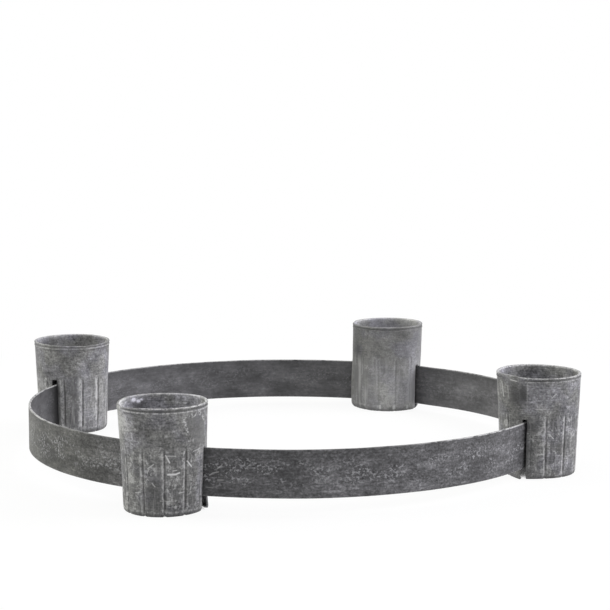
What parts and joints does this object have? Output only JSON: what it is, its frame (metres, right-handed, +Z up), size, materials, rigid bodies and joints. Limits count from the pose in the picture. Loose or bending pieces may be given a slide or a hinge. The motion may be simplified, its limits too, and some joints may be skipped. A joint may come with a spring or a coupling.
{
  "type": "advent candle holder",
  "caption": "Round advent candle holder: tapered sheet-metal candle cups with pressed grooves straddle a flat metal hoop and slide along it.",
  "frame": {"origin": "the hoop's centre, on the surface that the cups stand on", "axes": "+Z up; -Y towards the front cup, +X towards the right cup"},
  "size_m": [0.4161, 0.4163, 0.067],
  "materials": {
    "hoop": "dark aged zinc wash, matt, with pale scratches along the strip",
    "cup": "mottled grey zinc wash, matt, worn pale on the edges",
    "plate": "grey zinc wash, matt",
    "rivet": "dark aged zinc wash, matt"
  },
  "bodies": {
    "hoop": {"hoop_strip": "hoop", "hoop_rivet_upper": "rivet", "hoop_rivet_lower": "rivet"},
    "cup_front": {"cup_front_wall": "cup"},
    "cup_right": {"cup_right_wall": "cup"},
    "cup_back": {"cup_back_wall": "cup"},
    "cup_left": {"cup_left_wall": "cup"},
    "plate_front": {"cup_front_plate": "plate"},
    "plate_right": {"cup_right_plate": "plate"},
    "plate_back": {"cup_back_plate": "plate"},
    "plate_left": {"cup_left_plate": "plate"}
  },
  "joints": [
    {"name": "cup_front_along_hoop", "type": "hinge", "parent": "hoop", "child": "cup_front", "pos_m": [0, 0, 0], "axis": [0, 0, 1], "range_deg": [-33, 33]},
    {"name": "cup_right_along_hoop", "type": "hinge", "parent": "hoop", "child": "cup_right", "pos_m": [0, 0, 0], "axis": [0, 0, 1], "range_deg": [-33, 33]},
    {"name": "cup_back_along_hoop", "type": "hinge", "parent": "hoop", "child": "cup_back", "pos_m": [0, 0, 0], "axis": [0, 0, 1], "range_deg": [-33, 33]},
    {"name": "cup_left_along_hoop", "type": "hinge", "parent": "hoop", "child": "cup_left", "pos_m": [0, 0, 0], "axis": [0, 0, 1], "range_deg": [-33, 33]},
    {"name": "plate_front_lift", "type": "slide", "parent": "cup_front", "child": "plate_front", "axis": [0, 0, 1], "range_m": [0, 0.03]},
    {"name": "plate_right_lift", "type": "slide", "parent": "cup_right", "child": "plate_right", "axis": [0, 0, 1], "range_m": [0, 0.03]},
    {"name": "plate_back_lift", "type": "slide", "parent": "cup_back", "child": "plate_back", "axis": [0, 0, 1], "range_m": [0, 0.03]},
    {"name": "plate_left_lift", "type": "slide", "parent": "cup_left", "child": "plate_left", "axis": [0, 0, 1], "range_m": [0, 0.03]}
  ]
}
